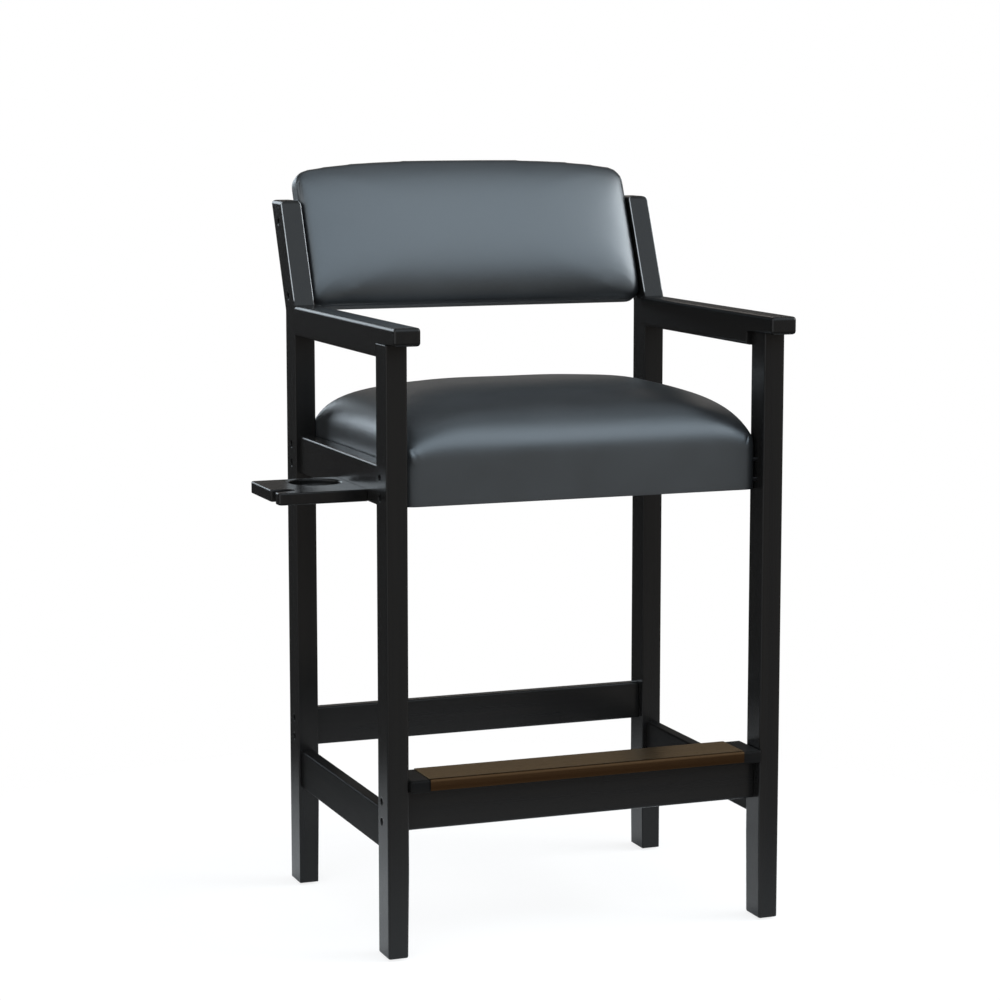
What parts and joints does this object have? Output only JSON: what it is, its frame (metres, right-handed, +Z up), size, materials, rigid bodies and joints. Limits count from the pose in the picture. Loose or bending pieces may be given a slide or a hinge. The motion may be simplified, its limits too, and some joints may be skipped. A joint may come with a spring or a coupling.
{
  "type": "billiard spectator chair",
  "caption": "Tall lacquered-wood armchair with a padded seat and raked padded back, a foot rest with a kick plate, and a side board with a cup recess and a cue notch.",
  "frame": {"origin": "on the floor, under the middle of the chair's bounding box", "axes": "+Z up, -Y to the front of the chair, +X to the right as seen from the front; the cup and cue board is on the -X side"},
  "size_m": [0.7646, 0.6208, 1.1613],
  "materials": {
    "lacquered_wood": "black satin-gloss lacquer",
    "faux_leather": "charcoal, fine grain, soft sheen",
    "bronze_plate": "dark bronze, brushed satin",
    "dark_steel": "black oxide",
    "raw_wood": "unfinished",
    "foam": "open-cell foam",
    "dust_cloth": "matt non-woven cloth",
    "nylon": "matt"
  },
  "bodies": {
    "root": {"front_leg_left": "lacquered_wood", "front_leg_right": "lacquered_wood", "back_leg_left": "lacquered_wood", "back_leg_right": "lacquered_wood", "arm_left": "lacquered_wood", "arm_right": "lacquered_wood", "seat_rail_left": "lacquered_wood", "seat_rail_right": "lacquered_wood", "side_stretcher_left": "lacquered_wood", "side_stretcher_right": "lacquered_wood", "front_stretcher": "lacquered_wood", "back_stretcher": "lacquered_wood", "foot_board": "lacquered_wood", "cup_holder": "lacquered_wood", "kick_plate": "bronze_plate", "seat_cover": "faux_leather", "back_cover": "faux_leather", "back_panel": "faux_leather", "seat_foam": "foam", "back_foam": "foam", "seat_dust_cover": "dust_cloth", "seat_deck": "raw_wood", "back_core": "raw_wood", "seat_frame_front": "raw_wood", "seat_frame_back": "raw_wood", "seat_frame_left": "raw_wood", "seat_frame_right": "raw_wood", "seat_corner_block_front_left": "raw_wood", "seat_corner_block_front_right": "raw_wood", "seat_corner_block_back_left": "raw_wood", "seat_corner_block_back_right": "raw_wood", "front_stretcher_bolt_left_lower": "dark_steel", "front_stretcher_bolt_left_upper": "dark_steel", "front_stretcher_bolt_right_lower": "dark_steel", "front_stretcher_bolt_right_upper": "dark_steel", "back_stretcher_bolt_left_lower": "dark_steel", "back_stretcher_bolt_left_upper": "dark_steel", "back_stretcher_bolt_right_lower": "dark_steel", "back_stretcher_bolt_right_upper": "dark_steel", "seat_front_bolt_left_lower": "dark_steel", "seat_front_bolt_left_upper": "dark_steel", "seat_front_bolt_right_lower": "dark_steel", "seat_front_bolt_right_upper": "dark_steel", "seat_back_bolt_left_lower": "dark_steel", "seat_back_bolt_left_upper": "dark_steel", "seat_back_bolt_right_lower": "dark_steel", "seat_back_bolt_right_upper": "dark_steel", "backrest_bolt_left_lower": "dark_steel", "backrest_bolt_left_upper": "dark_steel", "backrest_bolt_right_lower": "dark_steel", "backrest_bolt_right_upper": "dark_steel", "foot_board_screw_left": "dark_steel", "foot_board_screw_right": "dark_steel", "cup_holder_screw_front": "dark_steel", "cup_holder_screw_middle": "dark_steel", "cup_holder_screw_back": "dark_steel", "glide_front_left": "nylon", "glide_front_right": "nylon", "glide_back_left": "nylon", "glide_back_right": "nylon"}
  },
  "joints": []
}
